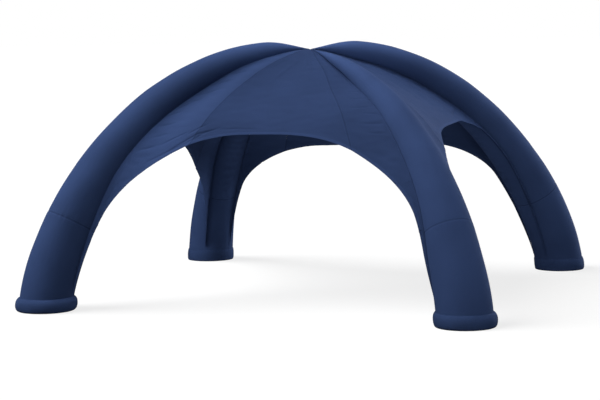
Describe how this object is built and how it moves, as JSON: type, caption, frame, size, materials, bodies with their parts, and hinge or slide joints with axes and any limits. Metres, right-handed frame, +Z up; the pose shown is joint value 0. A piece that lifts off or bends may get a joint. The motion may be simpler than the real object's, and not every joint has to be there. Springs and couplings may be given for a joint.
{
  "type": "inflatable tent",
  "caption": "Inflatable cross-arch tent: tapered air-filled legs meet at the peak, padded cuffs ring the feet, and stretched canopy panels leave an arched doorway on each side",
  "frame": {"origin": "on the ground, in the middle of the four feet", "axes": "+Z is up; the front doorway faces -Y and +X is to the right of someone facing it"},
  "size_m": [5.6747, 5.6747, 3.0488],
  "materials": {
    "tube_cloth": "matte woven navy",
    "cuff_cloth": "matte woven navy, padded",
    "canopy_cloth": "matte woven navy, stretched"
  },
  "bodies": {
    "root": {"leg_front_left": "tube_cloth", "leg_front_right": "tube_cloth", "leg_back_left": "tube_cloth", "leg_back_right": "tube_cloth", "cuff_front_left": "cuff_cloth", "cuff_front_right": "cuff_cloth", "cuff_back_left": "cuff_cloth", "cuff_back_right": "cuff_cloth", "canopy_front_left": "canopy_cloth", "canopy_front_middle": "canopy_cloth", "canopy_front_right": "canopy_cloth", "canopy_right_left": "canopy_cloth", "canopy_right_middle": "canopy_cloth", "canopy_right_right": "canopy_cloth", "canopy_back_left": "canopy_cloth", "canopy_back_middle": "canopy_cloth", "canopy_back_right": "canopy_cloth", "canopy_left_left": "canopy_cloth", "canopy_left_middle": "canopy_cloth", "canopy_left_right": "canopy_cloth"}
  },
  "joints": []
}
